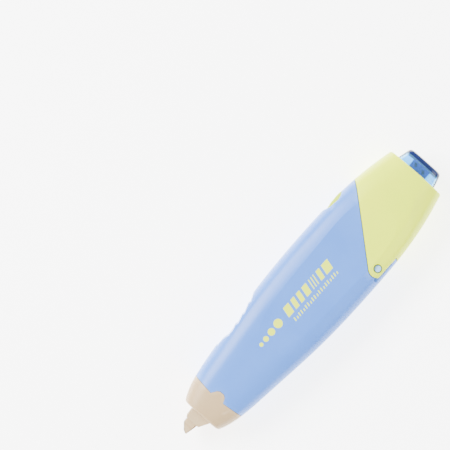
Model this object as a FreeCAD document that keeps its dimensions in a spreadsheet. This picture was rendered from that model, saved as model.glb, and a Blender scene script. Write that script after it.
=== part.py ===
import FreeCAD, Part
import math
import os
import re
from types import SimpleNamespace

import Sketcher
from FreeCAD import Rotation, Vector
from fcgear import fcgear, involute

# Push-button correction tape roller with a refill, in millimetres.
# Local datum: X runs along the casing towards the push knob with 0 near the nose,
# Y towards the grip side, Z towards the front face with 0 on the seam between the shells.

sizes = (
    ("wall", 1.5, "wall of the casing"),
    ("nose_front", -0.9, "front face of the nose"),
    ("nose_length", 8.5, "nose face to the seam at its sides"),
    ("nose_mouth_half", 4.4, "half width of the nose mouth"),
    ("mouth_gap", 0.3, "neck plates to the nose mouth"),
    ("sleeve_gap", 0.05, "nose sleeve to the shells"),
    ("sleeve_wall", 0.55, "nose sleeve inside the shells"),
    ("sleeve_length", 3.0, "nose sleeve beyond the seam"),
    ("seam_gap", 0.1, "fine seam between fixed casing pieces"),
    ("parting_gap", 0.2, "gap between the cover and the shells"),
    ("parting_angle", 49.4, "slant of the cover's edge to the long axis, degrees"),
    ("tail_length", 36.2, "slider's rear face to the casing's end"),
    ("side_room", 3.15, "refill to the casing wall at the widest place"),
    ("nose_round", 1.2, "edge radius of the nose face"),
    ("tail_round", 0.6, "edge radius of the cover's end"),
    ("grip_half", 7.0, "half width of the finger grip"),
    ("scoop_half", 7.0, "half width of the hollow around the button"),
    ("hinge_back", 32.1, "hinge pin to the casing's end"),
    ("hinge_inset", 3.85, "hinge pin to the casing's side"),
    ("pin_radius", 1.15, "cover hinge pin"),
    ("pin_fit", 0.05, "running clearance of the hinge pin, radial"),
    ("pin_sink_radius", 1.45, "counterbore around the hinge pin"),
    ("pin_half_length", 7.6, "half length of the hinge pin"),
    ("boss_radius", 2.6, "hinge boss in the shells"),
    ("ear_radius", 3.1, "rounded end of the cover's ears"),
    ("ear_drop", 2.3, "hinge pin to the ear's straight lower edge"),
    ("ear_thickness", 2.35, "cover's ears at the hinge"),
    ("ear_reach", 5.5, "radius of the thick part of the ears"),
    ("strip_radius", 6.9, "side strip of the shells around the hinge"),
    ("strip_gap", 0.2, "side strip to the cover's side wall and ears"),
    ("notch_reach", 3.7, "hinge pin to the end of the notch that the opened ears swing into"),
    ("notch_drop", 1.6, "hinge pin to the top of that notch"),
    ("web_reach", 4.5, "hinge pin to the front of the web under the boss"),
    ("pin_press", 0.02, "clearance of the fixed pins in the shells, radial"),
    ("tape_width", 5.0, "width of the correction tape"),
    ("roll_radius", 10.0, "full supply roll"),
    ("core_radius", 4.0, "core under the supply roll"),
    ("used_radius", 4.8, "used liner on the take-up reel"),
    ("reel_radius", 4.4, "take-up hub"),
    ("reel_flange", 8.4, "take-up flange"),
    ("gear_module", 0.5, "module of the refill's gears"),
    ("gear_shift", -0.1, "profile shift that leaves the backlash"),
    ("supply_teeth", 38, "supply gear"),
    ("idler_teeth", 19, "idler gear"),
    ("take_teeth", 16, "take-up gear"),
    ("gear_width", 1.8, "supply gear"),
    ("thin_gear", 1.55, "idler and take-up gear"),
    ("take_x", 33.0, "take-up axle"),
    ("axle_radius", 1.5, "axles of the two reels"),
    ("idler_axle", 1.0, "axle of the idler"),
    ("idler_head", 1.3, "snap head of the idler's axle"),
    ("bore_fit", 0.05, "running clearance of the gears, radial"),
    ("hub_radius", 2.4, "hub of the supply gear"),
    ("clutch_wall", 0.4, "slip ring between the hub and the core"),
    ("plate", 0.8, "refill cover and neck plates"),
    ("base_plate", 1.0, "rear plate of the refill base"),
    ("guard_room", 0.9, "tape edge to the neck plates"),
    ("guard_wall", 0.65, "side guards of the applicator"),
    ("refill_margin", 0.3, "refill plates beyond the supply gear"),
    ("guide_radius", 0.8, "rear tape guide"),
    ("post_radius", 0.6, "front tape guides"),
    ("strip_wall", 0.12, "thickness of the tape strips"),
    ("tip_x", -8.8, "working edge of the applicator, under the tape"),
    ("travel", 9.8, "travel of the knob and the refill"),
    ("floor_wall", 1.2, "floor of the slider"),
    ("floor_half", 5.4, "half width of the slider's floor"),
    ("floor_front", 38.0, "front edge of the slider's floor"),
    ("slider_gap", 0.2, "slider to the shells"),
    ("rail_wall", 1.1, "rails beside the slider's floor"),
    ("rail_gap", 0.15, "rails to the slider's floor"),
    ("rail_start", 2.0, "rails in front of the slider's floor"),
    ("rib_front", 28.0, "front end of the ribs over the refill"),
    ("rib_inner", 4.5, "casing's middle to the ribs over the refill"),
    ("rib_width", 1.0, "ribs over the refill"),
    ("rib_gap", 0.2, "ribs to the refill cover"),
    ("guide_stop", 3.0, "rails and ribs to the latch face"),
    ("push_wall", 2.0, "rear wall of the slider"),
    ("push_gap", 0.2, "slider to the push rod"),
    ("refill_play", 1.2, "refill plates to the slider's rear wall"),
    ("hook_inset", 4.75, "outer face of the latch finger's hook to the casing's widest side"),
    ("hook_half", 1.5, "half width of the latch finger"),
    ("hook_length", 1.9, "hook of the latch finger"),
    ("hook_dip", 0.9, "depth that the lever's pawl reaches over the hook"),
    ("latch_gap", 0.1, "hook to the pawl"),
    ("leaf", 0.7, "thickness of the latch finger"),
    ("leaf_gap", 0.4, "latch finger to the pawl above it"),
    ("leaf_reach", 5.7, "latch finger behind the slider"),
    ("leaf_root", 1.0, "latch finger let into the slider"),
    ("lever_arm", 6.5, "hook to the lever's pin, lengthwise"),
    ("lever_inset", 3.05, "lever pin to the casing's widest side"),
    ("lever_pin_radius", 0.6, "lever pin"),
    ("lever_fit", 0.06, "running clearance of the lever, radial"),
    ("lever_half", 2.2, "half width of the release lever"),
    ("lever_side", 0.3, "release lever to its bosses"),
    ("lever_boss_half", 5.0, "half width over the lever's bosses"),
    ("lever_pin_half", 4.6, "half length of the lever pin"),
    ("pad_start", 1.8, "lever pin to the button pad"),
    ("pad_length", 7.0, "button pad"),
    ("pad_proud", 0.35, "button pad below the casing's widest side"),
    ("spring_seat", 38.0, "fixed end of the return spring"),
    ("seat_wall", 1.5, "wall behind the return spring"),
    ("seat_half", 2.2, "half width of the wall behind the return spring"),
    ("spring_length", 5.0, "return spring when the knob is pressed"),
    ("spring_radius", 1.15, "mean radius of the return spring"),
    ("spring_wire", 0.35, "wire of the return spring"),
    ("spring_turns", 10, "turns of the return spring"),
    ("peg_radius", 0.7, "pegs that hold the return spring"),
    ("peg_length", 2.0, "pegs that hold the return spring"),
    ("knob_out", 5.1, "knob beyond the casing's end when pressed"),
    ("knob_half", 8.9, "half width of the knob at its base"),
    ("knob_rise", 4.9, "half height of the knob at its base"),
    ("knob_tip_half", 6.45, "half width of the knob at its end"),
    ("knob_tip_rise", 3.7, "half height of the knob at its end"),
    ("knob_round", 1.3, "edge radius of the knob's end"),
    ("knob_wall", 1.1, "wall of the knob"),
    ("knob_fit", 0.25, "knob to the mouth of the cover"),
    ("knob_flange", 0.7, "flange that keeps the knob in the cover"),
    ("flange_width", 1.9, "length of that flange"),
    ("rod_half", 3.4, "half width of the push rod"),
    ("rod_rise", 2.4, "half height of the push rod"),
    ("rod_fit", 0.15, "push rod to its guide"),
    ("rod_guide_back", 17.7, "push rod guide to the casing's end"),
    ("rib_wall", 1.5, "push rod guide"),
    ("tongue_reach", 1.3, "cover's tongue in front of the slanted parting"),
    ("tongue_inset", 2.95, "outer face of the tongue to the casing's widest side"),
    ("tongue_wall", 0.9, "cover's tongue"),
)

layout = (
    ("tape_half", "tape_width / 2"),
    ("neck_low", "tape_half + guard_room"),
    ("neck_high", "neck_low + plate"),
    ("gear_top", "-tape_half - 0.4"),
    ("gear_bottom", "gear_top - gear_width"),
    ("base_top", "gear_bottom - 0.1"),
    ("base_bottom", "base_top - base_plate"),
    ("floor_top", "base_bottom - 0.05"),
    ("floor_bottom", "floor_top - floor_wall"),
    ("inner_half", "slider_gap - floor_bottom"),
    ("half_thickness", "inner_half + wall"),
    ("gear_tip", "(supply_teeth / 2 + 1) * gear_module"),
    ("refill_radius", "max(roll_radius; gear_tip) + refill_margin"),
    ("half_width", "refill_radius + side_room + wall"),
    ("take_plate", "reel_flange + refill_margin"),
    ("idler_x", "take_x + (take_teeth + idler_teeth) * gear_module / 2"),
    ("supply_x", "idler_x + (supply_teeth + idler_teeth) * gear_module / 2"),
    ("push_front", "supply_x + refill_radius + refill_play"),
    ("latch_x", "push_front + push_wall"),
    ("rod_front", "latch_x + push_gap"),
    ("casing_end", "latch_x + tail_length"),
    ("hinge_x", "casing_end - hinge_back"),
    ("hinge_y", "hinge_inset - half_width"),
    ("ear_inner", "half_thickness - ear_thickness"),
    ("boss_half", "ear_inner - strip_gap"),
    ("lever_x", "latch_x + lever_arm"),
    ("lever_y", "half_width - lever_inset"),
    ("hook_top", "half_width - hook_inset"),
    ("pawl_low", "hook_top - hook_dip"),
    ("pawl_arc", "sqrt((lever_arm - latch_gap) ^ 2 + (lever_y - pawl_low) ^ 2)"),
    ("hook_arc", "pawl_arc + latch_gap"),
    ("hook_low_x", "lever_x - sqrt(hook_arc ^ 2 - (lever_y - pawl_low) ^ 2)"),
    ("hook_high_x", "lever_x - sqrt(hook_arc ^ 2 - (lever_y - hook_top) ^ 2)"),
    ("pawl_high_x", "lever_x - sqrt(pawl_arc ^ 2 - (lever_y - hook_top) ^ 2)"),
    ("leaf_top", "pawl_low - leaf_gap"),
    ("pad_x", "lever_x + pad_start"),
    ("pad_end", "pad_x + pad_length"),
    ("pad_top", "half_width - pad_proud"),
    ("spring_end", "spring_seat + spring_length"),
    ("spring_y", "-take_plate - 0.3 - spring_radius - spring_wire"),
    ("knob_end", "casing_end + knob_out"),
    ("flange_x", "casing_end - wall - 0.2 - travel - flange_width"),
    ("knob_base", "flange_x + flange_width"),
    ("strip_tip", "tip_x - 0.08 - strip_wall"),
    ("middle_x", "(knob_end + strip_tip) / 2"),
)

doc = FreeCAD.newDocument("correction_tape_roller")
dims = doc.addObject("Spreadsheet::Sheet", "dims")
for row, (alias, value, note) in enumerate(sizes, 1):
    dims.set(f"A{row}", alias)
    dims.set(f"B{row}", str(value))
    dims.set(f"C{row}", note)
    dims.setAlias(f"B{row}", alias)
doc.recompute()

owners = {alias: "dims." for alias, value, note in sizes}
owners.update({name: "places." for name, formula in layout})


def bound(formula):
    """The formula with each name led by the object that holds it."""
    return re.sub(r"[a-z]\w*", lambda hit: owners.get(hit.group(0), "") + hit.group(0), formula)


places = doc.addObject("App::VarSet", "places")
for name, formula in layout:
    places.addProperty("App::PropertyFloat", name)
    places.setExpression(name, bound(formula))
doc.recompute()

at = SimpleNamespace(**{alias: float(getattr(dims, alias)) for alias, value, note in sizes})
for name, formula in layout:
    setattr(at, name, getattr(places, name))


def number(formula):
    return float(places.evalExpression(bound(formula)))


def seat(item, x="0", y="0", z="0"):
    """Place a sub-part on the frame: its origin is the given point of the local datum."""
    item.setExpression("Placement.Base.x", bound(f"{x} - middle_x"))
    item.setExpression("Placement.Base.y", bound(y))
    item.setExpression("Placement.Base.z", bound(f"{z} + half_thickness"))


# ---- sketch-based sub-parts


def new_body(name, x="0", y="0", z="0"):
    body = doc.addObject("PartDesign::Body", name)
    body.Label = name
    seat(body, x, y, z)
    return body


def rect(x_low, x_high, y_low, y_high):
    return [(x_low, y_low), (x_high, y_low), (x_high, y_high), (x_low, y_high)]


def new_sketch(body, loops, level, plane):
    outline = body.newObject("Sketcher::SketchObject", f"{body.Name}_outline")
    flat = next(item for item in body.Origin.OriginFeatures if item.Role == plane)
    outline.AttachmentSupport = [(flat, "")]
    outline.MapMode = "FlatFace"
    outline.setExpression("AttachmentOffset.Base.z", bound(level))
    for loop in loops:
        first = outline.GeometryCount
        if isinstance(loop, tuple):
            x, y, radius = loop
            centre = Vector(number(x), number(y), 0)
            outline.addGeometry(Part.Circle(centre, Vector(0, 0, 1), number(radius)))
            drive(outline, Sketcher.Constraint("Radius", first, number(radius)), radius)
            pin_point(outline, first, 3, x, y)
            continue
        corners = [Vector(number(x), number(y), 0) for x, y in loop]
        for index, corner in enumerate(corners):
            outline.addGeometry(Part.LineSegment(corner, corners[(index + 1) % len(corners)]))
        for index, (x, y) in enumerate(loop):
            following = first + (index + 1) % len(loop)
            outline.addConstraint(Sketcher.Constraint("Coincident", first + index, 2, following, 1))
            pin_point(outline, first + index, 1, x, y)
    return outline


def drive(outline, constraint, formula):
    index = outline.addConstraint(constraint)
    outline.setExpression(f"Constraints[{index}]", bound(formula))


def pin_point(outline, geometry, point, x, y):
    drive(outline, Sketcher.Constraint("DistanceX", -1, 1, geometry, point, number(x)), x)
    drive(outline, Sketcher.Constraint("DistanceY", -1, 1, geometry, point, number(y)), y)


def pad(body, loops, low, high, plane="XY_Plane"):
    feature = body.newObject("PartDesign::Pad", f"{body.Name}_pad")
    feature.Profile = new_sketch(body, loops, low, plane)
    feature.setExpression("Length", bound(f"({high}) - ({low})"))
    return feature


def pocket(body, loops, low, high, plane="XY_Plane"):
    doc.recompute()
    before = body.Shape.Volume
    feature = body.newObject("PartDesign::Pocket", f"{body.Name}_pocket")
    feature.Profile = new_sketch(body, loops, low, plane)
    feature.Reversed = True
    feature.setExpression("Length", bound(f"({high}) - ({low})"))
    doc.recompute()
    if body.Shape.Volume >= before:
        raise RuntimeError(f"{body.Name}: a pocket cuts nothing")
    return feature


# ---- primitives


def cylinder(name, radius, low, high, x="0", y="0"):
    item = doc.addObject("Part::Cylinder", name)
    item.Label = name
    item.setExpression("Radius", bound(radius))
    item.setExpression("Height", bound(f"({high}) - ({low})"))
    seat(item, x, y, low)
    return item


def boolean(kind, name, base, tool):
    item = doc.addObject(f"Part::{kind}", name)
    item.Label = name
    item.Base = base
    item.Tool = tool
    return item


def toothed_disc(name, teeth, low, high, x, turned):
    """Involute gear blank on its own axis, a tooth or a gap facing +X."""
    builder = fcgear.FCWireBuilder()
    involute.CreateExternalGear(
        builder, at.gear_module, int(number(teeth)), 20, True, shiftCoeff=at.gear_shift
    )
    outline = doc.addObject("Part::Feature", f"{name}_outline")
    outline.Shape = Part.Wire([curve.toShape() for curve in builder.wire])
    seat(outline, x, "0", low)
    outline.Placement.Rotation = Rotation(Vector(0, 0, 1), 180 / number(teeth) if turned else 0)
    blank = doc.addObject("Part::Extrusion", f"{name}_blank")
    blank.Base = outline
    blank.DirMode = "Normal"
    blank.Solid = True
    blank.setExpression("LengthFwd", bound(f"({high}) - ({low})"))
    return blank


# ---- casing form


def section(x, half_width, half_height, power, spans=20):
    """Rounded oblong across the long axis; a higher power makes it squarer."""
    points = []
    for index in range(spans):
        turn = 2 * math.pi * (index + 0.5) / spans
        side = math.copysign(abs(math.cos(turn)) ** (2 / power), math.cos(turn))
        rise = math.copysign(abs(math.sin(turn)) ** (2 / power), math.sin(turn))
        points.append(Vector(x, half_width * side, half_height * rise))
    curve = Part.BSplineCurve()
    curve.interpolate(Points=points, PeriodicFlag=True, Parameters=list(range(spans + 1)))
    return Part.Wire([curve.toShape()])


# distance from the nose face, share of the half width, share of the half thickness, squareness
front_stations = ((0, 0.482, 0.731, 2.8), (8.5, 0.676, 0.834, 3.0), (20.9, 0.789, 0.949, 3.3),
                  (42.9, 0.9465, 1.023, 3.6))
# the same, with the distance from the casing's end
rear_stations = ((37.7, 1.0, 1.04, 3.6), (20.7, 0.963, 1.03, 3.6), (8.7, 0.8595, 0.937, 3.2),
                 (0, 0.7324, 0.811, 2.9))


def block(x_low, x_high, y_low, y_high, z_low, z_high):
    corner = Vector(x_low, y_low, z_low)
    return Part.makeBox(x_high - x_low, y_high - y_low, z_high - z_low, corner)


def prism(corners, z_low, z_high):
    points = [Vector(x, y, z_low) for x, y in corners]
    face = Part.Face(Part.makePolygon(points + points[:1]))
    return face.extrude(Vector(0, 0, z_high - z_low))


def disc(x, y, radius, z_low, z_high):
    return Part.makeCylinder(radius, z_high - z_low, Vector(x, y, z_low))


def casing_form(inset):
    """The casing's outer form, or the cavity when it is drawn in by a wall."""
    rows = [(at.nose_front + run, *rest) for run, *rest in front_stations]
    rows += [(at.casing_end - run, *rest) for run, *rest in rear_stations]
    wires = [
        section(x, at.half_width * wide - inset, at.half_thickness * high - inset, power)
        for x, wide, high, power in rows
    ]
    form = Part.makeLoft(wires, True, False)
    flat = at.half_thickness - inset
    ends = block(at.nose_front + inset, at.casing_end - inset, -50, 50, -flat, flat)
    return form.common(ends)


def casing_shape():
    """Outer form with its nose and tail edges rounded."""
    form = casing_form(0)
    for x, radius in ((at.nose_front, at.nose_round), (at.casing_end, at.tail_round)):
        rim = [
            edge for edge in form.Edges
            if abs(edge.BoundBox.XMin - x) < 1e-3 and abs(edge.BoundBox.XMax - x) < 1e-3
        ]
        form = form.makeFillet(radius, rim)
    return form


outer = casing_shape()
cavity = casing_form(at.wall)
far = 200
turn = math.radians(at.parting_angle)
along = Vector(math.cos(turn), math.sin(turn), 0)
across = Vector(math.sin(turn), -math.cos(turn), 0)
hinge = Vector(at.hinge_x, at.hinge_y, 0)


def beyond_parting():
    """Everything that the slanted parting leaves to the cover, up to a line across the hinge pin."""
    foot = hinge - across * (at.ear_radius + at.parting_gap)
    top = foot + along * 60
    corners = [hinge, foot, top, Vector(far, top.y), Vector(far, -far), Vector(hinge.x, -far)]
    return prism([(corner.x, corner.y) for corner in corners], -far, far)


def ear_pocket(z_low, z_high):
    """Room for an ear of the cover, closed and opened."""
    end_x = hinge.x - at.notch_reach
    notch = prism([(hinge.x, hinge.y), (end_x, hinge.y - at.notch_drop), (end_x, -far), (hinge.x, -far)],
                  z_low, z_high)
    return notch.fuse(disc(hinge.x, hinge.y, at.ear_radius + at.parting_gap, z_low, z_high))


def cover_plan(z_low, z_high):
    """Plan of the hinged cover: slanted edge, rounded ear and the curve to its side."""
    foot = hinge - across * at.ear_radius
    top = foot + along * 60
    toe = hinge + Vector(-math.sqrt(at.ear_radius ** 2 - at.ear_drop ** 2), -at.ear_drop, 0)
    middle = (foot + toe) * 0.5 - hinge
    middle = hinge + middle.normalize() * at.ear_radius
    bend_start = hinge + Vector(3.9, -at.ear_drop, 0)
    bend_end = hinge + Vector(6.6, -at.hinge_inset + 0.25, 0)
    drop = hinge + Vector(8.2, -at.hinge_inset - 2, 0)
    runs = [drop, Vector(far, drop.y, 0), Vector(far, top.y, 0), top, foot]
    edges = [Part.makeLine(start, end) for start, end in zip(runs, runs[1:])]
    edges.append(Part.Arc(foot, middle, toe).toShape())
    bend = Part.BezierCurve()
    half = (bend_end.x - bend_start.x) * 0.55
    bend.setPoles([bend_start, bend_start + Vector(half, 0, 0), bend_end - Vector(half, 0, 0), bend_end])
    edges += [Part.makeLine(toe, bend_start), bend.toShape(), Part.makeLine(bend_end, drop)]
    face = Part.Face(Part.Wire(Part.__sortEdges__(edges)))
    face.translate(Vector(0, 0, z_low))
    return face.extrude(Vector(0, 0, z_high - z_low))


def nose_plan(grow):
    """Plan of the nose with the tongue that it lays over the shells' front edge."""
    side = at.nose_front + at.nose_length
    corners = [
        (-far, -far), (side, -far), (side, -9.5), (side - 0.7, -2.5), (side + 1.1, -1.7),
        (side + 1.7, -0.8), (side + 1.7, 0.8), (side + 1.1, 1.7), (side - 0.7, 2.9), (side, 9.5),
        (side, far), (-far, far),
    ]
    return prism([(x + grow, y) for x, y in corners], -far, far)


def feature(name, shape):
    item = doc.addObject("Part::Feature", name)
    item.Label = name
    item.Shape = shape
    seat(item)
    return item


def grip_recess():
    """Saw-tooth grip cut into the side, and the thicker wall behind it."""
    crest = at.half_width
    outline = [
        (19.5, -2.7), (19.9, -3.55), (23, -3.55), (25, -4.05), (27, -3.95), (29, -3.45), (30, -3.75),
        (33, -2.95), (33.8, -3.15), (37, -2.05), (38, -2.25), (41.5, -0.7), (41.5, 5), (19.5, 5),
    ]
    cut = prism([(x, crest + y) for x, y in outline], -at.grip_half, at.grip_half)
    backing = [(17.5, -5.5), (43.5, -4.2), (43.5, 5), (17.5, 5)]
    thick = prism([(x, crest + y) for x, y in backing], -at.inner_half, at.inner_half)
    return cut, thick


def inner_walls(grip_wall):
    """Everything that stands on the inside of the shells."""
    seat_wall = block(at.spring_seat - at.seat_wall, at.spring_seat, -far, -at.take_plate - 0.3,
                      -at.seat_half, at.seat_half)
    slot_half = at.lever_half + at.lever_side
    bosses = block(at.lever_x - 2.5, at.pad_end + 1.7, at.lever_y - 1.1, far,
                   -at.lever_boss_half, at.lever_boss_half)
    bosses = bosses.cut(block(-far, far, -far, far, -slot_half, slot_half))
    web = block(hinge.x - at.web_reach, hinge.x + at.boss_radius, -far, hinge.y,
                -at.boss_half, at.boss_half)
    boss = disc(hinge.x, hinge.y, at.boss_radius, -at.boss_half, at.boss_half)
    walls = grip_wall.fuse([seat_wall, bosses, web, boss])
    # rails for the slider on the back, ribs over the refill on the front
    guide_end = at.latch_x - at.guide_stop
    rail_inner = at.floor_half + at.rail_gap
    for side, rail_end in ((-1, at.spring_end - 0.3), (1, guide_end)):
        rail = sorted((side * rail_inner, side * (rail_inner + at.rail_wall)))
        rib = sorted((side * at.rib_inner, side * (at.rib_inner + at.rib_width)))
        walls = walls.fuse([
            block(at.floor_front - at.rail_start, rail_end, *rail, -far, at.base_bottom - 0.4),
            block(at.rib_front, guide_end, *rib, at.neck_high + at.rib_gap, far),
        ])
    return walls


def shells():
    """Both shells in one piece, before they are parted along the seam."""
    grip_cut, grip_wall = grip_recess()
    body = outer.cut(cavity).fuse(inner_walls(grip_wall).common(outer))
    body = body.cut(nose_plan(at.seam_gap))
    # between the ears a side strip of the shells stays round the hinge
    strip = disc(hinge.x, hinge.y, at.strip_radius, -at.boss_half, at.boss_half)
    body = body.cut(beyond_parting().cut(strip))
    body = body.cut(ear_pocket(at.boss_half, far)).cut(ear_pocket(-far, -at.boss_half))
    body = body.cut(grip_cut)
    body = body.cut(disc(hinge.x, hinge.y, at.pin_radius + at.pin_press, -far, far))
    lever_hole = at.lever_pin_half + at.seam_gap / 2
    body = body.cut(disc(at.lever_x, at.lever_y, at.lever_pin_radius + at.pin_press,
                         -lever_hole, lever_hole))
    slot_half = at.lever_half + at.lever_side
    body = body.cut(block(at.pad_x - 0.4, at.pad_end + 0.65, at.lever_y, far, -slot_half, slot_half))
    return body.cut(button_scoop())


def button_scoop():
    """Finger hollow in the side around the button."""
    rim = at.half_width
    corners = [(-2.7, 0.3), (0, -0.85), (1.3, -1.15), (4.3, -1.5), (5.8, -1.25), (7.3, -0.5),
               (8.5, 0.3)]
    return prism([(at.pad_x + x, rim + y) for x, y in corners], -at.scoop_half, at.scoop_half)


def make_shells():
    body = shells()
    half_seam = at.seam_gap / 2
    feature("front_shell", body.common(block(-far, far, -far, far, half_seam, far)))
    feature("back_shell", body.common(block(-far, far, -far, far, -far, -half_seam)))


def make_nose_cap():
    body = outer.common(nose_plan(0)).cut(cavity)
    side = at.nose_front + at.nose_length
    outside = at.wall + at.sleeve_gap
    hollow = casing_form(outside + at.sleeve_wall)
    sleeve = casing_form(outside).cut(hollow)
    sleeve = sleeve.common(block(side - 2, side + at.sleeve_length, -far, far, -far, far))
    link = casing_form(at.wall - 0.3).cut(hollow).common(block(side - 2, side - 1, -far, far, -far, far))
    rise = at.neck_high + at.mouth_gap
    mouth = block(at.nose_front - 1, at.nose_front + at.wall + 1, -at.nose_mouth_half,
                  at.nose_mouth_half, -rise, rise)
    feature("nose_cap", body.fuse([sleeve, link]).cut(mouth))


def make_hinged_cover():
    plan = cover_plan(-far, far)
    body = outer.common(plan).cut(cavity)
    clear = at.strip_radius + at.strip_gap
    body = body.cut(disc(at.hinge_x, at.hinge_y, clear, -at.ear_inner, at.ear_inner))
    for low, high in ((at.ear_inner, far), (-far, -at.ear_inner)):
        ear = disc(at.hinge_x, at.hinge_y, at.ear_reach, low, high)
        body = body.fuse(outer.common(plan).common(ear))
    # guide for the push rod, and the tongue that lies inside the shells' wall
    guide_x = at.casing_end - at.rod_guide_back
    guide = block(guide_x, guide_x + at.rib_wall, -far, 9.5, -far, far)
    hole = block(guide_x - 1, guide_x + at.rib_wall + 1, -at.rod_half - at.rod_fit,
                 at.rod_half + at.rod_fit, -at.rod_rise - at.rod_fit, at.rod_rise + at.rod_fit)
    step = at.half_width - at.tongue_inset
    foot = hinge - across * at.ear_radius
    start = foot.x + (step - foot.y) / math.tan(turn) - at.tongue_reach
    riser, end, under = start + 3.3, start + 5, step - at.tongue_wall
    tongue = prism([(start, under), (end, under), (end, far), (riser, far), (riser, step), (start, step)],
                   -3, 3)
    body = body.fuse(guide.cut(hole).common(outer).common(plan)).fuse(tongue.common(outer))
    mouth = section(at.casing_end - at.wall - 1, at.knob_half + at.knob_fit,
                    at.knob_rise + at.knob_fit, 2.9)
    body = body.cut(Part.Face(mouth).extrude(Vector(at.wall + 2, 0, 0)))
    body = body.cut(disc(at.hinge_x, at.hinge_y, at.pin_radius + at.pin_fit, -far, far))
    for low, high in ((at.pin_half_length, far), (-far, -at.pin_half_length)):
        body = body.cut(disc(at.hinge_x, at.hinge_y, at.pin_sink_radius, low, high))
    feature("hinged_cover", body)


def knob_form(inset):
    """Tapered form of the knob, or its hollow when drawn in."""
    rows = ((at.knob_base, at.knob_half, at.knob_rise),
            ((at.knob_base + at.knob_end) / 2 + 2, (at.knob_half + at.knob_tip_half) / 2 + 0.4,
             (at.knob_rise + at.knob_tip_rise) / 2 + 0.15),
            (at.knob_end, at.knob_tip_half, at.knob_tip_rise))
    wires = [section(x, wide - inset, high - inset, 2.9) for x, wide, high in rows]
    return Part.makeLoft(wires, True, False)


def make_knob_cap():
    form = knob_form(0)
    rim = [edge for edge in form.Edges if abs(edge.BoundBox.XMin - at.knob_end) < 1e-3]
    form = form.makeFillet(at.knob_round, rim)
    flange = section(at.flange_x, at.knob_half + at.knob_flange, at.knob_rise + 0.6, 2.9)
    flange = Part.Face(flange).extrude(Vector(at.flange_width, 0, 0))
    hollow = knob_form(at.knob_wall).common(
        block(at.knob_base, at.knob_end - at.knob_wall, -far, far, -far, far))
    throat = section(at.flange_x - 1, at.knob_half - at.knob_wall, at.knob_rise - at.knob_wall, 2.9)
    throat = Part.Face(throat).extrude(Vector(at.flange_width + 1, 0, 0))
    body = form.fuse(flange).cut(hollow).cut(throat)
    # two short slots at the base, front and back
    for side in (-1, 1):
        low, high = sorted((side * 6.6, side * 7.2))
        body = body.cut(block(at.knob_base + 1, at.knob_base + 3.5, low, high, -far, far))
    feature("knob_cap", body)


# ---- tape path: straight runs and arcs around guides that all lie on its left


def tape_strip(name, guides, z_half):
    """Thin strip that leaves the first guide, wraps the next ones and ends at the last."""
    normals = []
    for (x1, y1, r1), (x2, y2, r2) in zip(guides, guides[1:]):
        run = Vector(x2 - x1, y2 - y1, 0)
        length = run.Length
        run.normalize()
        lean = (r1 - r2) / length
        normals.append(run * lean + Vector(run.y, -run.x, 0) * math.sqrt(1 - lean ** 2))
    pieces = []
    for (x1, y1, r1), (x2, y2, r2), normal in zip(guides, guides[1:], normals):
        start = Vector(x1, y1, 0) + normal * r1
        end = Vector(x2, y2, 0) + normal * r2
        lift = normal * at.strip_wall
        corners = [(p.x, p.y) for p in (start, end, end + lift, start + lift)]
        pieces.append(prism(corners, -z_half, z_half))
    for (x, y, r), before, after in zip(guides[1:-1], normals, normals[1:]):
        start = math.atan2(before.y, before.x)
        swing = math.degrees((math.atan2(after.y, after.x) - start) % (2 * math.pi))
        wedge = Part.makeCylinder(r + at.strip_wall, 2 * z_half, Vector(0, 0, 0), Vector(0, 0, 1), swing)
        wedge = wedge.cut(Part.makeCylinder(r, 2 * z_half))
        wedge.rotate(Vector(0, 0, 0), Vector(0, 0, 1), math.degrees(start))
        wedge.translate(Vector(x, y, -z_half))
        pieces.append(wedge)
    feature(name, pieces[0].fuse(pieces[1:]).removeSplitter())


# guides of the tape path and corners of the applicator's wedge: x, y
rear_guide = (20.0, 7.6)
upper_post = (1.5, 2.7)
lower_post = (3.0, -1.9)
wedge_top = (-6.2, 2.9)
wedge_brow = (-8.2, 1.2)
wedge_tip = (at.tip_x, 0.05)
wedge_chin = (-6.9, -0.45)
fold = 0.08


def make_tape_strips():
    z_half = at.tape_half - 0.05
    folds = [(*corner, fold) for corner in (wedge_top, wedge_brow, wedge_tip)]
    tape_strip("supply_strip", [(at.supply_x, 0, at.roll_radius + 0.1),
                                (*rear_guide, at.guide_radius + 0.02),
                                (*upper_post, at.post_radius + 0.02), *folds], z_half)
    tape_strip("liner_strip", [(*wedge_tip, fold), (*wedge_chin, fold),
                               (*lower_post, at.post_radius + 0.02),
                               (at.take_x, 0, at.used_radius + 0.1)], z_half)


# ---- refill


def as_text(points):
    return [(str(x), str(y)) for x, y in points]


neck_outline = as_text([
    (-4.4, -1.7), (-0.9, -3.7), (1.2, -3.8), (8, -4.5), (22, -8), (26, -8), (26, 9), (18, 9),
    (8, 5.35), (1.2, 3.95), (-0.9, 3.9), (-4.3, 3.7), (-4.6, 0),
])


def refill_plates(body, low, high):
    """Rear plate of the refill: take-up disc, waist and supply disc."""
    pad(body, [("take_x", "0", "take_plate")], low, high)
    pad(body, [rect("24.6", "take_x", "-8", "8")], low, high)
    pad(body, [rect("take_x", "supply_x", "-5", "5")], low, high)
    pad(body, [("supply_x", "0", "refill_radius")], low, high)


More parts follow.
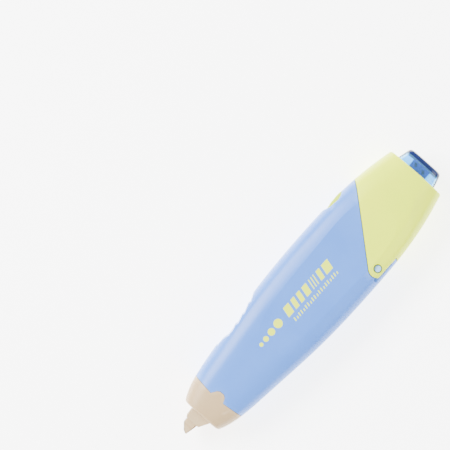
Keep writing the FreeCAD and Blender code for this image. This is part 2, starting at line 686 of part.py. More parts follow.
def make_refill_base():
    body = new_body("refill_base")
    refill_plates(body, "base_bottom", "base_top")
    pad(body, [rect("24.6", "26", "-8", "8")], "base_bottom", "-neck_low")
    pad(body, [neck_outline], "-neck_high", "-neck_low")
    for x in ("take_x", "supply_x"):
        pad(body, [(x, "0", "axle_radius")], "base_bottom", "neck_low")
    pad(body, [("idler_x", "0", "idler_axle")], "base_bottom", "base_top + thin_gear + 0.2")
    pad(body, [("idler_x", "0", "idler_head")], "base_top + thin_gear + 0.2",
        "base_top + thin_gear + 0.35")
    for (x, y), radius in ((rear_guide, "guide_radius"), (upper_post, "post_radius"),
                           (lower_post, "post_radius")):
        pad(body, [(str(x), str(y), radius)], "-neck_high", "neck_low")


def make_refill_cover():
    body = new_body("refill_cover")
    refill_plates(body, "neck_low", "neck_high")
    pad(body, [neck_outline], "neck_low", "neck_high")


def make_applicator_head():
    body = new_body("applicator_head")
    tip = as_text([wedge_tip, wedge_brow, wedge_top])
    wedge = as_text([(4, -0.9), (4, 1.2), (0, 1.2), (-1, 2.3)]) + tip[::-1]
    wedge += as_text([wedge_chin, (-4.6, -0.75)])
    core_half = "tape_half + 0.15"
    pad(body, [wedge], f"-({core_half})", core_half)
    guard = as_text([(1, -1.2), (1, 1.9), (0, 3.1), (-6.2, 3.05), (-6.2, -0.55), (-4.4, -0.65)])
    pad(body, [guard], core_half, f"{core_half} + guard_wall")
    pad(body, [guard], f"-({core_half}) - guard_wall", f"-({core_half})")


def make_gears():
    blank = toothed_disc("supply_gear", "supply_teeth", "gear_bottom", "gear_top", "supply_x", False)
    hub = cylinder("supply_hub", "hub_radius", "gear_bottom", "neck_low - 0.2", "supply_x")
    solid = boolean("Fuse", "supply_gear_solid", blank, hub)
    bore = cylinder("supply_bore", "axle_radius + bore_fit", "gear_bottom - 1", "neck_low + 1",
                    "supply_x")
    boolean("Cut", "supply_gear", solid, bore)

    low, high = "gear_bottom", "gear_bottom + thin_gear"
    blank = toothed_disc("idler_gear", "idler_teeth", low, high, "idler_x", True)
    bore = cylinder("idler_bore", "idler_axle + bore_fit", "gear_bottom - 1", "gear_top", "idler_x")
    boolean("Cut", "idler_gear", blank, bore)

    blank = toothed_disc("take_up_reel", "take_teeth", low, high, "take_x", True)
    hub = cylinder("take_up_hub", "reel_radius", high, "neck_low - 0.4", "take_x")
    flange = cylinder("take_up_flange", "reel_flange", "-tape_half - 0.3", "-tape_half", "take_x")
    solid = boolean("Fuse", "take_up_drum", hub, flange)
    solid = boolean("Fuse", "take_up_solid", blank, solid)
    bore = cylinder("take_up_bore", "axle_radius + bore_fit", "gear_bottom - 1", "neck_low + 1",
                    "take_x")
    boolean("Cut", "take_up_reel", solid, bore)


def ring_part(name, inner, outside, low, high, x):
    solid = cylinder(f"{name}_solid", outside, low, high, x)
    bore = cylinder(f"{name}_bore", inner, f"{low} - 1", f"{high} + 1", x)
    return boolean("Cut", name, solid, bore)


def make_reels():
    ring_part("supply_tape", "core_radius", "roll_radius", "-tape_half", "tape_half", "supply_x")
    ring_part("take_up_roll", "reel_radius", "used_radius", "-tape_half", "tape_half", "take_x")
    # slip ring, split so that it springs against the hub
    whole = ring_part("clutch_whole", "hub_radius + bore_fit", "hub_radius + bore_fit + clutch_wall",
                      "-tape_half", "tape_half", "supply_x")
    slit = doc.addObject("Part::Box", "clutch_slit")
    slit.setExpression("Length", bound("core_radius"))
    slit.setExpression("Width", bound("clutch_wall"))
    slit.setExpression("Height", bound("tape_width + 2"))
    seat(slit, "supply_x", "0", "-tape_half - 1")
    boolean("Cut", "clutch_ring", whole, slit)

    body = new_body("supply_core", "supply_x")
    inner = "hub_radius + clutch_wall + 2 * bore_fit"
    pad(body, [("0", "0", "core_radius"), ("0", "0", inner)], "-tape_half - 0.3", "tape_half + 0.1")
    pad(body, [("0", "0", "roll_radius - 0.2"), ("0", "0", inner)], "tape_half + 0.1",
        "neck_low - 0.15")


# ---- slider, latch and springs


def make_slider_frame():
    body = new_body("slider_frame")
    pad(body, [rect("floor_front", "latch_x", "-floor_half", "floor_half")], "floor_bottom", "floor_top")
    pad(body, [rect("push_front", "latch_x", "-floor_half", "floor_half")], "floor_bottom", "neck_high")
    pocket(body, [rect("latch_x - leaf_root", "latch_x + 1", "floor_half - 1", "floor_half - 1 + leaf")],
           "-hook_half", "hook_half")
    # arm that climbs beside the refill's waist to the spring
    near = "-take_plate + 1.9"
    rise = "spring_radius + 0.45"
    arm = ("spring_end", "spring_end + 2")
    pad(body, [rect(*arm, "-take_plate + 0.2", "-floor_half + 0.4")], "base_bottom - 0.8", "floor_top")
    pad(body, [rect(*arm, "-take_plate + 0.2", near)], "base_bottom - 0.8", rise)
    pad(body, [rect(*arm, "spring_y - spring_radius - 0.3", near)], f"-({rise})", rise)
    pad(body, [("spring_y", "0", "peg_radius")], "spring_end - peg_length", "spring_end", "YZ_Plane")


def make_latch_finger():
    """Sprung hairpin on the slider: its upper leg carries the hook that the pawl holds."""
    body = new_body("latch_finger")
    low, bend = "floor_half - 1", "latch_x + leaf_reach"
    hook_front = "hook_low_x - hook_length"
    hairpin = [
        ("latch_x - leaf_root", low), (f"{bend} - 1", low), (bend, f"{low} + 1"),
        (bend, "leaf_top - 1"), (f"{bend} - 1", "leaf_top"), ("hook_low_x", "leaf_top"),
        ("hook_low_x", "pawl_low"), ("hook_high_x", "hook_top"), (f"{hook_front} + 0.8", "hook_top"),
        (hook_front, "leaf_top"), (hook_front, "leaf_top - leaf"),
        (f"{bend} - 1.2", "leaf_top - leaf"), (f"{bend} - leaf", "leaf_top - leaf - 0.5"),
        (f"{bend} - leaf", f"{low} + leaf + 0.5"), (f"{bend} - 1.2", f"{low} + leaf"),
        ("latch_x - leaf_root", f"{low} + leaf"),
    ]
    pad(body, [hairpin], "-hook_half", "hook_half")


def make_release_lever():
    body = new_body("release_lever")
    pawl_x = "latch_x + latch_gap"
    lever = [
        (pawl_x, "pawl_low"), (f"{pawl_x} + 2", "pawl_low + 0.7"), ("lever_x - 3.4", "lever_y - 0.6"),
        ("lever_x + 1.5", "lever_y - 0.6"), ("pad_end", "lever_y - 0.6"), ("pad_end", "pad_top - 0.1"),
        ("pad_end - 1.2", "pad_top + 0.05"), ("pad_x + 2", "pad_top - 0.05"), ("pad_x", "pad_top - 0.4"),
        ("pad_x", "lever_y + 1.1"), ("lever_x - 1.2", "lever_y + 1"), ("lever_x - 4", "lever_y + 0.3"),
        ("pawl_high_x - 0.1", "hook_top + 1.1"), ("pawl_high_x", "hook_top"),
    ]
    pad(body, [lever], "-lever_half", "lever_half")
    pad(body, [("lever_x", "lever_y", "lever_pin_radius + 0.7")], "-lever_half", "lever_half")
    pocket(body, [("lever_x", "lever_y", "lever_pin_radius + lever_fit")], "-lever_half - 1",
           "lever_half + 1")


def make_lever_spring():
    """Bent leaf between the lever's front arm and the casing wall."""
    body = new_body("lever_spring")
    leaf = [("latch_x + 0.3", "hook_top + 1.45"), ("latch_x + 1.7", "hook_top + 2.35"),
            ("latch_x + 3.3", "half_width - wall - 0.25"), ("latch_x + 3.3", "half_width - wall - 0.05"),
            ("latch_x + 1.6", "hook_top + 2.55"), ("latch_x + 0.2", "hook_top + 1.65")]
    pad(body, [leaf], "-1.2", "1.2")


def make_return_spring():
    coil = doc.addObject("Part::Helix", "spring_line")
    coil.setExpression("Radius", bound("spring_radius"))
    coil.setExpression("Pitch", bound("(spring_length - spring_wire - 0.1) / spring_turns"))
    coil.setExpression("Height", bound("spring_length - spring_wire - 0.1"))
    wire = doc.addObject("Part::Circle", "spring_wire_outline")
    wire.setExpression("Radius", bound("spring_wire / 2"))
    wire.setExpression("Placement.Base.x", bound("spring_radius"))
    wire.Placement.Rotation = Rotation(Vector(1, 0, 0), 90)
    spring = doc.addObject("Part::Sweep", "return_spring")
    spring.Label = "return_spring"
    spring.Sections = [wire]
    spring.Spine = (coil, ["Edge1"])
    spring.Solid = True
    spring.Frenet = True
    seat(spring, "spring_seat + spring_wire / 2 + 0.05", "spring_y", "0")
    spring.Placement.Rotation = Rotation(Vector(0, 1, 0), 90)


def make_push_rod():
    body = new_body("push_rod")
    pad(body, [rect("rod_front", "knob_end - knob_wall", "-rod_half", "rod_half")], "-rod_rise", "rod_rise")
    collar_half = "knob_half - knob_wall - 0.4"
    pad(body, [rect("flange_x + 0.1", "knob_base", f"-({collar_half})", collar_half)], "-1.6", "1.6")
    for low, high in (("0.6", "rod_rise + 1"), ("-rod_rise - 1", "-0.6")):
        pocket(body, [rect("rod_front + 2", "flange_x - 1", "-rod_half + 1", "rod_half - 1")], low, high)


def make_pins():
    cylinder("hinge_pin", "pin_radius", "-pin_half_length", "pin_half_length", "hinge_x", "hinge_y")
    cylinder("lever_pin", "lever_pin_radius", "-lever_pin_half", "lever_pin_half", "lever_x", "lever_y")


make_shells()
make_nose_cap()
make_hinged_cover()
make_knob_cap()
make_push_rod()
make_pins()
make_slider_frame()
make_latch_finger()
make_release_lever()
make_lever_spring()
make_return_spring()
make_refill_base()
make_refill_cover()
make_applicator_head()
make_tape_strips()
make_gears()
make_reels()
doc.recompute()

nodes = (
    "front_shell", "back_shell", "nose_cap", "hinge_pin", "lever_pin", "hinged_cover", "knob_cap",
    "push_rod", "slider_frame", "refill_base", "refill_cover", "applicator_head", "supply_strip",
    "liner_strip", "supply_gear", "clutch_ring", "supply_core", "supply_tape", "idler_gear",
    "take_up_reel", "take_up_roll", "latch_finger", "release_lever", "lever_spring", "return_spring",
)
failed = [item.Name for item in doc.Objects if {"Invalid", "Error"} & set(item.State)]
if failed:
    raise RuntimeError(f"failed: {failed}")
finished = {name: doc.getObjectsByLabel(name)[0] for name in nodes}
for name, item in finished.items():
    if item.Shape.isNull() or not item.Shape.isValid() or not item.Shape.Solids:
        raise RuntimeError(f"{name}: no valid solid")
os.makedirs("parts", exist_ok=True)
for name, item in finished.items():
    item.Shape.exportStep(os.path.join("parts", f"{name}.step"))
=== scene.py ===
import math
import bmesh
import bpy
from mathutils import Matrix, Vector
from mathutils.bvhtree import BVHTree


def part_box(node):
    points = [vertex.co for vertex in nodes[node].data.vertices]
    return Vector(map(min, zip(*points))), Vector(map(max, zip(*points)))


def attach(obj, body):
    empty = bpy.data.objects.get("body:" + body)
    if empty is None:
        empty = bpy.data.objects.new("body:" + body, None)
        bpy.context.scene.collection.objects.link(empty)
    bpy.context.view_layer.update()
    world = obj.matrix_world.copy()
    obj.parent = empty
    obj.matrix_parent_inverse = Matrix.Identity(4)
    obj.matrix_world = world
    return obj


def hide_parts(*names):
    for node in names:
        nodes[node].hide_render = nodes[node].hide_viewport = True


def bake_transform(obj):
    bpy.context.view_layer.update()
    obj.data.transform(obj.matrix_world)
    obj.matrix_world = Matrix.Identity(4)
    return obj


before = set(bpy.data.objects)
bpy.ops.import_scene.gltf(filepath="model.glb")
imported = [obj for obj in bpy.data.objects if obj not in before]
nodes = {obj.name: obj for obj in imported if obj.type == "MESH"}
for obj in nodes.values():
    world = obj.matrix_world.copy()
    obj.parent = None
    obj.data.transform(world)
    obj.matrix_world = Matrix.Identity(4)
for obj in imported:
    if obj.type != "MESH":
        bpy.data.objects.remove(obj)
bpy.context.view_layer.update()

mm = 0.001
print("frame loaded")

def centreOf(node):
    low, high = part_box(node)
    return (Vector(low) + Vector(high)) / 2

# the casing's front end and seam plane, which the sizes below are measured from
noseLip = 0.9
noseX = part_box("nose_cap")[0][0] + noseLip * mm
seamZ = centreOf("hinge_pin").z

def onFace(x, y):
    return noseX + x * mm, y * mm

# ---------- node helpers

def newTree(name):
    material = bpy.data.materials.new(name)
    material.use_nodes = True
    tree = material.node_tree
    tree.nodes.clear()
    return material, tree

def addNode(tree, kind, **values):
    # sockets by name, everything else as a property
    node = tree.nodes.new(kind)
    for key, value in values.items():
        if key in node.inputs.keys():
            node.inputs[key].default_value = value
        else:
            setattr(node, key, value)
    return node

def wire(tree, source, output, target, inputName):
    tree.links.new(source.outputs[output], target.inputs[inputName])

def mathNode(tree, operation, first, second):
    node = addNode(tree, "ShaderNodeMath", operation=operation)
    for index, value in enumerate((first, second)):
        if isinstance(value, (int, float)):
            node.inputs[index].default_value = value
        else:
            tree.links.new(value, node.inputs[index])
    return node.outputs[0]

def rangeNode(tree, value, lowIn, highIn, lowOut, highOut):
    node = addNode(tree, "ShaderNodeMapRange")
    for key, number in (("From Min", lowIn), ("From Max", highIn), ("To Min", lowOut), ("To Max", highOut)):
        node.inputs[key].default_value = number
    tree.links.new(value, node.inputs["Value"])
    return node.outputs["Result"]

# ---------- moulded plastics

def creaseHeight(tree, axes, c):
    # a soft facet: the face falls away on one side of a curved line
    along, over = ("X", "Y") if c["along"] == "X" else ("Y", "X")
    points = [onFace(*point) for point in c["line"]]
    if along == "Y":
        points = sorted((y, x) for x, y in points)
    first, last = points[0][0], points[-1][0]
    low, high = min(p[1] for p in points), max(p[1] for p in points)
    curve = addNode(tree, "ShaderNodeFloatCurve")
    bends = curve.mapping.curves[0].points
    spots = [((u - first) / (last - first), (v - low) / (high - low)) for u, v in points]
    bends[0].location, bends[1].location = spots[0], spots[-1]
    for spot in spots[1:-1]:
        bends.new(*spot)
    curve.mapping.update()
    tree.links.new(rangeNode(tree, axes.outputs[along], first, last, 0, 1), curve.inputs["Value"])
    line = rangeNode(tree, curve.outputs["Value"], 0, 1, low, high)
    gap = mathNode(tree, "MULTIPLY", mathNode(tree, "SUBTRACT", axes.outputs[over], line), c["side"])
    rise = addNode(tree, "ShaderNodeMath", operation="SMOOTH_MAX")
    tree.links.new(gap, rise.inputs[0])
    rise.inputs[1].default_value = 0.0
    rise.inputs[2].default_value = c["soft"] * mm
    return mathNode(tree, "MULTIPLY", rise.outputs[0], -c["slope"])

# what every moulding has, unless its own entry in plastics says otherwise
moulding = {
    "metal": 0.0, "shine": 0.32, "edge": 0.25, "round": 0.25, "creases": (),
    "glowDepth": 1.2, "glowTint": (1.0, 0.9, 0.8),
    "cloudScale": 60.0, "cloudDetail": 3.0,
    "grainScale": 2600.0, "grainDetail": 2.0, "grain": 0.06, "grainDepth": 0.02,
    "turnScale": 420.0, "turnWaver": 0.4, "turnStrength": 0.7, "turnDepth": 0.04,
}

def mouldedPlastic(name, own):
    # soft satin moulding: cloudy tint, fine spark-eroded grain, edges rounded and a touch lighter as a
    # painted highlight
    s = {**moulding, **own}
    material, tree = newTree(name)
    out = addNode(tree, "ShaderNodeOutputMaterial")
    skin = addNode(tree, "ShaderNodeBsdfPrincipled", IOR=1.49)
    skin.inputs["Metallic"].default_value = s["metal"]
    skin.inputs["Specular IOR Level"].default_value = s["shine"]
    skin.inputs["Subsurface Weight"].default_value = s["glow"]
    skin.inputs["Subsurface Radius"].default_value = s["glowTint"]
    skin.inputs["Subsurface Scale"].default_value = s["glowDepth"] * mm
    place = addNode(tree, "ShaderNodeTexCoord")
    axes = addNode(tree, "ShaderNodeSeparateXYZ")
    wire(tree, place, "Object", axes, "Vector")
    cloud = addNode(tree, "ShaderNodeTexNoise", Scale=s["cloudScale"], Detail=s["cloudDetail"])
    wire(tree, place, "Object", cloud, "Vector")
    tint = addNode(tree, "ShaderNodeValToRGB")
    tint.color_ramp.elements[0].position = 0.3
    tint.color_ramp.elements[1].position = 0.7
    tint.color_ramp.elements[0].color = (*s["deep"], 1)
    tint.color_ramp.elements[1].color = (*s["light"], 1)
    wire(tree, cloud, "Fac", tint, "Fac")
    shape = addNode(tree, "ShaderNodeNewGeometry")
    # painted highlight: sharp edges, found by pointiness, are lightened in the base colour
    edgeHighlight = addNode(tree, "ShaderNodeMixRGB", Color2=(*s["edgeHighlight"], 1))
    edge = rangeNode(tree, shape.outputs["Pointiness"], 0.52, 0.62, 0, s["edge"])
    tree.links.new(edge, edgeHighlight.inputs["Fac"])
    wire(tree, tint, "Color", edgeHighlight, "Color1")
    wire(tree, edgeHighlight, "Color", skin, "Base Color")
    rough = rangeNode(tree, cloud.outputs["Fac"], 0, 1, s["rough"] - 0.05, s["rough"] + 0.07)
    tree.links.new(rough, skin.inputs["Roughness"])
    normal = addNode(tree, "ShaderNodeBevel", samples=6, Radius=s["round"] * mm)
    for crease in s["creases"]:
        facet = addNode(tree, "ShaderNodeBump", Strength=1.0, Distance=1.0)
        tree.links.new(creaseHeight(tree, axes, crease), facet.inputs["Height"])
        wire(tree, normal, "Normal", facet, "Normal")
        normal = facet
    grain = addNode(tree, "ShaderNodeTexNoise", Scale=s["grainScale"], Detail=s["grainDetail"])
    wire(tree, place, "Object", grain, "Vector")
    relief = addNode(tree, "ShaderNodeBump", Strength=s["grain"], Distance=s["grainDepth"] * mm)
    wire(tree, grain, "Fac", relief, "Height")
    wire(tree, normal, "Normal", relief, "Normal")
    if "windings" in s:
        # fine turns of wound tape around the reel's axis
        shift = addNode(tree, "ShaderNodeMapping")
        shift.inputs["Location"].default_value = -centreOf(s["windings"])
        wire(tree, place, "Object", shift, "Vector")
        turns = addNode(tree, "ShaderNodeTexWave", wave_type="RINGS", rings_direction="Z")
        turns.inputs["Scale"].default_value = s["turnScale"]
        turns.inputs["Distortion"].default_value = s["turnWaver"]
        wire(tree, shift, "Vector", turns, "Vector")
        layers = addNode(tree, "ShaderNodeBump", Strength=s["turnStrength"], Distance=s["turnDepth"] * mm)
        wire(tree, turns, "Fac", layers, "Height")
        wire(tree, relief, "Normal", layers, "Normal")
        relief = layers
    wire(tree, relief, "Normal", skin, "Normal")
    wire(tree, skin, "BSDF", out, "Surface")
    return material

bodyFacet = {"along": "X", "side": -1, "soft": 2.2, "slope": 0.07,
             "line": [(0, -1.2), (8, -2), (25, -4), (35, -8), (42, -10.3), (55, -11.5), (70, -11.8)]}
coverFacet = {"along": "Y", "side": 1, "soft": 1.2, "slope": 0.09,
              "line": [(88, -14), (92, -9), (99.5, -0.7), (94.5, 8), (92, 13)]}
# the lighter colour each entry gives its sharp edges is a painted highlight
plastics = {
    "caseBlue": {"deep": (0.068, 0.218, 0.70), "light": (0.080, 0.240, 0.74), "edgeHighlight": (0.30, 0.50, 0.93),
                 "rough": 0.33, "glow": 0.10, "creases": [bodyFacet]},
    "coverLime": {"deep": (0.76, 0.93, 0.002), "light": (0.81, 0.97, 0.004), "edgeHighlight": (0.90, 0.99, 0.12),
                  "rough": 0.32, "glow": 0.12, "creases": [coverFacet]},
    "leverLime": {"deep": (0.76, 0.93, 0.002), "light": (0.81, 0.97, 0.004), "edgeHighlight": (0.90, 0.99, 0.12),
                  "rough": 0.34, "glow": 0.12},
    "noseCream": {"deep": (0.47, 0.325, 0.165), "light": (0.51, 0.36, 0.19), "edgeHighlight": (0.78, 0.64, 0.42),
                  "rough": 0.40, "glow": 0.15},
    "pinBlue": {"deep": (0.24, 0.46, 0.80), "light": (0.28, 0.52, 0.85), "edgeHighlight": (0.5, 0.7, 0.93),
                "rough": 0.3, "glow": 0.15},
    "rodBlue": {"deep": (0.0, 0.13, 0.70), "light": (0.0, 0.18, 0.80), "edgeHighlight": (0.02, 0.35, 0.9),
                "rough": 0.25, "glow": 0.1},
    "clipBlue": {"deep": (0.0, 0.03, 0.20), "light": (0.0, 0.045, 0.26), "edgeHighlight": (0.02, 0.1, 0.4),
                 "rough": 0.3, "glow": 0.0},
    "acetalGrey": {"deep": (0.42, 0.44, 0.46), "light": (0.47, 0.49, 0.51), "edgeHighlight": (0.6, 0.62, 0.64),
                   "rough": 0.5, "glow": 0.1},
    "acetalWhite": {"deep": (0.72, 0.72, 0.69), "light": (0.78, 0.78, 0.76), "edgeHighlight": (0.88, 0.88, 0.87),
                    "rough": 0.45, "glow": 0.15},
    "tapeWhite": {"deep": (0.80, 0.80, 0.79), "light": (0.86, 0.86, 0.85), "edgeHighlight": (0.9, 0.9, 0.9),
                  "rough": 0.6, "glow": 0.1},
    "supplyWindings": {"deep": (0.78, 0.78, 0.77), "light": (0.86, 0.86, 0.85), "edgeHighlight": (0.9, 0.9, 0.9),
                       "rough": 0.55, "glow": 0.1, "windings": "supply_tape"},
    "linerOrange": {"deep": (0.60, 0.17, 0.02), "light": (0.68, 0.22, 0.03), "edgeHighlight": (0.8, 0.35, 0.1),
                    "rough": 0.35, "glow": 0.1},
    "linerWindings": {"deep": (0.55, 0.15, 0.02), "light": (0.62, 0.2, 0.03), "edgeHighlight": (0.75, 0.33, 0.1),
                      "rough": 0.4, "glow": 0.1, "windings": "take_up_roll"},
    "springSteel": {"deep": (0.5, 0.5, 0.52), "light": (0.6, 0.6, 0.62), "edgeHighlight": (0.75, 0.75, 0.77),
                    "rough": 0.25, "glow": 0.0, "metal": 1.0, "round": 0.05},
    # painted shade for the dark rings in the hinge pin's counterbore
    "pinShade": {"deep": (0.05, 0.10, 0.02), "light": (0.07, 0.13, 0.03), "edgeHighlight": (0.1, 0.16, 0.05),
                 "rough": 0.8, "glow": 0.0, "round": 0.02},
    "printInk": {"deep": (0.74, 0.88, 0.02), "light": (0.80, 0.93, 0.03), "edgeHighlight": (0.85, 0.95, 0.2),
                 "rough": 0.38, "glow": 0.0, "round": 0.02},
}
finish = {name: mouldedPlastic(name, s) for name, s in plastics.items()}
print("plastics ready")

# ---------- clear knob

clearKnob = {"tint": (0.20, 0.60, 1.0), "cloudShade": 0.88, "cloudScale": 140.0,
             "end": (0.0, 0.012, 0.10), "endDepth": 1.5, "fade": 0.6,
             "rough": 0.06, "clear": 0.93, "endClear": 0.35, "round": 0.3}

def knobGlass(s):
    # clear blue moulding that turns navy in its thick end
    material, tree = newTree("knobGlass")
    out = addNode(tree, "ShaderNodeOutputMaterial")
    skin = addNode(tree, "ShaderNodeBsdfPrincipled", IOR=1.46)
    place = addNode(tree, "ShaderNodeTexCoord")
    axes = addNode(tree, "ShaderNodeSeparateXYZ")
    wire(tree, place, "Object", axes, "Vector")
    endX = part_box("knob_cap")[1][0]
    depth = rangeNode(tree, axes.outputs["X"], endX - (s["endDepth"] + s["fade"]) * mm,
                      endX - s["endDepth"] * mm, 0, 1)
    cloud = addNode(tree, "ShaderNodeTexNoise", Scale=s["cloudScale"], Detail=2.0)
    wire(tree, place, "Object", cloud, "Vector")
    swirl = addNode(tree, "ShaderNodeMixRGB", Color1=(*s["tint"], 1))
    swirl.inputs["Color2"].default_value = (*[channel * s["cloudShade"] for channel in s["tint"]], 1)
    wire(tree, cloud, "Fac", swirl, "Fac")
    shade = addNode(tree, "ShaderNodeMixRGB", Color2=(*s["end"], 1))
    tree.links.new(depth, shade.inputs["Fac"])
    wire(tree, swirl, "Color", shade, "Color1")
    wire(tree, shade, "Color", skin, "Base Color")
    clear = rangeNode(tree, depth, 0, 1, s["clear"], s["endClear"])
    tree.links.new(clear, skin.inputs["Transmission Weight"])
    rough = rangeNode(tree, cloud.outputs["Fac"], 0, 1, s["rough"] - 0.02, s["rough"] + 0.03)
    tree.links.new(rough, skin.inputs["Roughness"])
    rounded = addNode(tree, "ShaderNodeBevel", samples=4, Radius=s["round"] * mm)
    wire(tree, rounded, "Normal", skin, "Normal")
    wire(tree, skin, "BSDF", out, "Surface")
    return material

finish["knobGlass"] = knobGlass(clearKnob)

finishOf = {
    "front_shell": "caseBlue", "back_shell": "caseBlue", "nose_cap": "noseCream",
    "hinged_cover": "coverLime", "release_lever": "leverLime", "hinge_pin": "pinBlue",
    "knob_cap": "knobGlass", "push_rod": "rodBlue", "slider_frame": "acetalGrey",
    "refill_base": "noseCream", "refill_cover": "noseCream", "applicator_head": "noseCream",
    "supply_strip": "tapeWhite", "liner_strip": "linerOrange", "supply_gear": "acetalWhite",
    "clutch_ring": "acetalGrey", "supply_core": "acetalWhite", "supply_tape": "supplyWindings",
    "idler_gear": "acetalWhite", "take_up_reel": "acetalWhite", "take_up_roll": "linerWindings",
    "lever_pin": "springSteel", "latch_finger": "acetalGrey",
}
for node, kind in finishOf.items():
    for slot in nodes[node].material_slots:
        slot.material = finish[kind]
print("finishes on the CAD nodes")

# ---------- abstract print on the front shell

marks = {
    # x, y, radius: dots that shrink towards the nose
    "dots": [(38.6, 1.5, 1.55), (35.1, 1.3, 1.25), (32.2, 1.1, 0.95), (29.8, 1.0, 0.7)],
    # x, width: slanted bars
    "bars": [(42.4, 2.6), (46.0, 1.7), (48.7, 1.7), (51.4, 2.2), (54.7, 0.4), (55.8, 0.4), (56.9, 0.4),
             (58.4, 1.7), (61.1, 3.0)],
    "barLow": 0.1, "barHigh": 3.6, "slant": 0.9,
    # every third tick is shorter
    "ticks": 20, "tickStart": 43.0, "tickPitch": 1.08, "tickWidth": 0.42, "tickLow": -2.4, "tickHigh": -1.1,
    "tickShorter": 0.45, "tickSlant": 0.3,
    "lift": 0.025, "rings": 3, "dotSteps": 40, "barAcross": 3, "barAlong": 6,
}

def inkMesh(m):
    # thin flat shapes dropped onto the shell's front face
    shell = nodes["front_shell"].data
    skin = BVHTree.FromPolygons([v.co for v in shell.vertices], [p.vertices for p in shell.polygons])
    mesh = bmesh.new()
    def patch(point, across, along):
        rows = []
        for i in range(across + 1):
            rows.append([])
            for j in range(along + 1):
                x, y = onFace(*point(i / across, j / along))
                hit = skin.ray_cast(Vector((x, y, 1)), Vector((0, 0, -1)))[0]
                rows[-1].append(mesh.verts.new((x, y, hit.z + m["lift"] * mm)))
        for i in range(across):
            for j in range(along):
                mesh.faces.new((rows[i][j], rows[i + 1][j], rows[i + 1][j + 1], rows[i][j + 1]))
    def bar(left, right, low, high, slant):
        patch(lambda u, v: (left + (right - left) * u + slant * v, low + (high - low) * v),
              m["barAcross"], m["barAlong"])
    for x, y, radius in m["dots"]:
        patch(lambda u, v: (x + radius * u * math.cos(2 * math.pi * v),
                            y + radius * u * math.sin(2 * math.pi * v)), m["rings"], m["dotSteps"])
    for x, wide in m["bars"]:
        bar(x, x + wide, m["barLow"], m["barHigh"], m["slant"])
    for index in range(m["ticks"]):
        left = m["tickStart"] + index * m["tickPitch"]
        top = m["tickHigh"] - m["tickShorter"] * (index % 3 == 1)
        bar(left, left + m["tickWidth"], m["tickLow"], top, m["tickSlant"])
    bmesh.ops.remove_doubles(mesh, verts=mesh.verts, dist=0.002 * mm)
    bmesh.ops.recalc_face_normals(mesh, faces=mesh.faces)
    data = bpy.data.meshes.new("printMarks")
    mesh.to_mesh(data)
    mesh.free()
    if data.polygons[0].normal.z < 0:
        data.flip_normals()
    return data

def pieceFrom(name, mesh, kind, body, smooth=True):
    piece = bpy.data.objects.new(name, mesh)
    bpy.context.collection.objects.link(piece)
    mesh.materials.clear()
    mesh.materials.append(finish[kind])
    for face in mesh.polygons:
        face.use_smooth = smooth
    if body:
        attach(piece, body)
    return piece

pieceFrom("printMarks", inkMesh(marks), "printInk", "casing", smooth=False)
print("print laid on")

# ---------- painted shade: a dark ring in the counterbore round the hinge pin

ring = {"inner": 1.16, "outer": 1.44, "proud": 0.02, "steps": 48}

def shadeRingMesh(r):
    # one flat dark ring of painted shade just proud of each end of the pin
    mesh = bmesh.new()
    low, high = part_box("hinge_pin")
    middle = centreOf("hinge_pin")
    steps = r["steps"]
    for level, turn in ((high[2] + r["proud"] * mm, 1), (low[2] - r["proud"] * mm, -1)):
        loops = []
        for radius in (r["inner"], r["outer"]):
            loops.append([mesh.verts.new((middle.x + radius * mm * math.cos(step * 2 * math.pi / steps),
                                          middle.y + radius * mm * math.sin(step * 2 * math.pi / steps),
                                          level))
                          for step in range(steps)])
        for step in range(steps):
            after = (step + 1) % steps
            corners = (loops[0][step], loops[1][step], loops[1][after], loops[0][after])
            mesh.faces.new(corners[::turn])
    data = bpy.data.meshes.new("pinShadeRings")
    mesh.to_mesh(data)
    mesh.free()
    return data

pieceFrom("pinShadeRings", shadeRingMesh(ring), "pinShade", "cover", smooth=False)
print("pin rings ready")

# ---------- clips that show through the knob

# a clip is two crossed bars, each with its length, width and turn in radians
clips = {"spots": [(107.6, 1.9), (107.3, -1.5)],
         "bars": [(1.3, 0.9, 0.5), (0.5, 1.6, -0.4)], "height": 0.35}

def clipMesh(c):
    mesh = bmesh.new()
    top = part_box("push_rod")[1][2] - seamZ
    for side in (1, -1):
        for x, y in c["spots"]:
            spotX, spotY = onFace(x, y)
            for long, wide, turn in c["bars"]:
                made = bmesh.ops.create_cube(mesh, size=1.0)["verts"]
                for vert in made:
                    ax, ay, az = vert.co.x * long * mm, vert.co.y * wide * mm, vert.co.z * c["height"] * mm
                    vert.co = (spotX + ax * math.cos(turn) - ay * math.sin(turn),
                               spotY + ax * math.sin(turn) + ay * math.cos(turn),
                               seamZ + side * (top + az))
    bmesh.ops.recalc_face_normals(mesh, faces=mesh.faces)
    data = bpy.data.meshes.new("rodClips")
    mesh.to_mesh(data)
    mesh.free()
    return data

pieceFrom("rodClips", clipMesh(clips), "clipBlue", "knob", smooth=False)
print("clips ready")

# ---------- return spring, swept by nodes

coil = {"turns": 9.0, "wire": 0.175, "stepsPerTurn": 48, "wireSteps": 14}

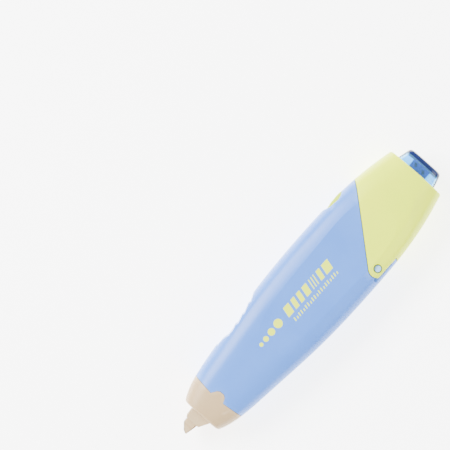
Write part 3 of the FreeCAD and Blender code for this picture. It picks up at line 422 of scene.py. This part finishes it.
def coilMesh(c):
    low, high = (Vector(corner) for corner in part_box("return_spring"))
    middle = (low + high) / 2
    radius = (high.z - low.z) / 2 - c["wire"] * mm
    tree = bpy.data.node_groups.new("coilTree", "GeometryNodeTree")
    length = high.x - low.x - 2 * c["wire"] * mm
    for name, default in (("Turns", c["turns"]), ("Radius", radius), ("Length", length),
                          ("Wire", c["wire"] * mm)):
        socket = tree.interface.new_socket(name, in_out="INPUT", socket_type="NodeSocketFloat")
        socket.default_value = default
    tree.interface.new_socket("Geometry", in_out="OUTPUT", socket_type="NodeSocketGeometry")
    given = tree.nodes.new("NodeGroupInput")
    spiral = addNode(tree, "GeometryNodeCurveSpiral", Resolution=c["stepsPerTurn"])
    for name, target in (("Turns", "Rotations"), ("Radius", "Start Radius"), ("Radius", "End Radius"),
                         ("Length", "Height")):
        wire(tree, given, name, spiral, target)
    section = addNode(tree, "GeometryNodeCurvePrimitiveCircle", Resolution=c["wireSteps"])
    wire(tree, given, "Wire", section, "Radius")
    sweep = addNode(tree, "GeometryNodeCurveToMesh")
    sweep.inputs["Fill Caps"].default_value = True
    wire(tree, spiral, "Curve", sweep, "Curve")
    wire(tree, section, "Curve", sweep, "Profile Curve")
    turnOver = addNode(tree, "GeometryNodeTransform")
    turnOver.inputs["Rotation"].default_value = (0, math.pi / 2, 0)
    turnOver.inputs["Translation"].default_value = (low.x + c["wire"] * mm, middle.y, middle.z)
    wire(tree, sweep, "Mesh", turnOver, "Geometry")
    whole = addNode(tree, "GeometryNodeRealizeInstances")
    wire(tree, turnOver, "Geometry", whole, "Geometry")
    painted = addNode(tree, "GeometryNodeSetMaterial", Material=finish["springSteel"])
    wire(tree, whole, "Geometry", painted, "Geometry")
    result = tree.nodes.new("NodeGroupOutput")
    wire(tree, painted, "Geometry", result, "Geometry")
    holder = bpy.data.objects.new("coilHolder", bpy.data.meshes.new("coilHolder"))
    bpy.context.collection.objects.link(holder)
    holder.modifiers.new("coil", "NODES").node_group = tree
    shown = holder.evaluated_get(bpy.context.evaluated_depsgraph_get())
    mesh = bpy.data.meshes.new_from_object(shown)
    bpy.data.objects.remove(holder)
    bpy.data.node_groups.remove(tree)
    mesh.name = "springCoil"
    return mesh, low, high

mesh, coilLow, coilHigh = coilMesh(coil)
springCoil = pieceFrom("springCoil", mesh, "springSteel", None)
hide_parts("return_spring")
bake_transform(springCoil)
print("spring wound")

# ---------- leaf that flexes between the release lever and the wall

def leafMesh():
    # the CAD leaf, cut finer
    mesh = bmesh.new()
    mesh.from_mesh(nodes["lever_spring"].data)
    bmesh.ops.remove_doubles(mesh, verts=mesh.verts, dist=0.001 * mm)
    bmesh.ops.subdivide_edges(mesh, edges=mesh.edges, cuts=2, use_grid_fill=True)
    data = bpy.data.meshes.new("springLeaf")
    mesh.to_mesh(data)
    mesh.free()
    return data

springLeaf = pieceFrom("springLeaf", leafMesh(), "springSteel", None, smooth=False)
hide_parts("lever_spring")
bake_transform(springLeaf)
print("leaf ready")

# ---------- floor, light, camera

studio = {"floor": 1.2, "floorTint": (0.93, 0.93, 0.93), "floorGlow": 4.6, "view": (0.0003, 0.0358),
          "tilt": 48.5, "distance": 0.8, "fieldWidth": 0.1503, "world": 1.28}

def makeStudio(s):
    mesh = bpy.data.meshes.new("floor")
    half = s["floor"]
    mesh.from_pydata([(-half, -half, 0), (half, -half, 0), (half, half, 0), (-half, half, 0)], [],
                     [(0, 1, 2, 3)])
    floor = bpy.data.objects.new("floor", mesh)
    bpy.context.collection.objects.link(floor)
    material, tree = newTree("paperFloor")
    out = addNode(tree, "ShaderNodeOutputMaterial")
    paper = addNode(tree, "ShaderNodeBsdfPrincipled", Roughness=0.9)
    paper.inputs["Base Color"].default_value = (*s["floorTint"], 1)
    paper.inputs["Emission Color"].default_value = (1, 1, 1, 1)
    paper.inputs["Emission Strength"].default_value = s["floorGlow"]
    wire(tree, paper, "BSDF", out, "Surface")
    mesh.materials.append(material)
    world = bpy.data.worlds.new("studio")
    bpy.context.scene.world = world
    world.use_nodes = True
    world.node_tree.nodes["Background"].inputs["Color"].default_value = (1, 1, 1, 1)
    world.node_tree.nodes["Background"].inputs["Strength"].default_value = s["world"]
    camera = bpy.data.objects.new("camera", bpy.data.cameras.new("camera"))
    bpy.context.collection.objects.link(camera)
    camera.location = (*s["view"], s["distance"])
    camera.rotation_euler = (0, 0, -math.radians(s["tilt"]))
    camera.data.lens = camera.data.sensor_width * s["distance"] / s["fieldWidth"]
    camera.data.clip_start = 0.01
    bpy.context.scene.camera = camera

def softBox(name, place, size, power):
    # an area lamp aimed at the origin
    lamp = bpy.data.objects.new(name, bpy.data.lights.new(name, "AREA"))
    bpy.context.collection.objects.link(lamp)
    lamp.data.shape = "RECTANGLE"
    lamp.data.size, lamp.data.size_y = size
    lamp.data.energy = power
    lamp.location = place
    lamp.rotation_euler = (-Vector(place)).to_track_quat("-Z", "Y").to_euler()

lamps = {
    "keyBox": {"place": (-0.15, 0.55, 0.6), "size": (0.5, 0.3), "power": 19.0},
    "fillBox": {"place": (0.3, -0.5, 0.5), "size": (0.6, 0.4), "power": 3.0},
}
makeStudio(studio)
for name, lamp in lamps.items():
    softBox(name, **lamp)
print("studio ready")
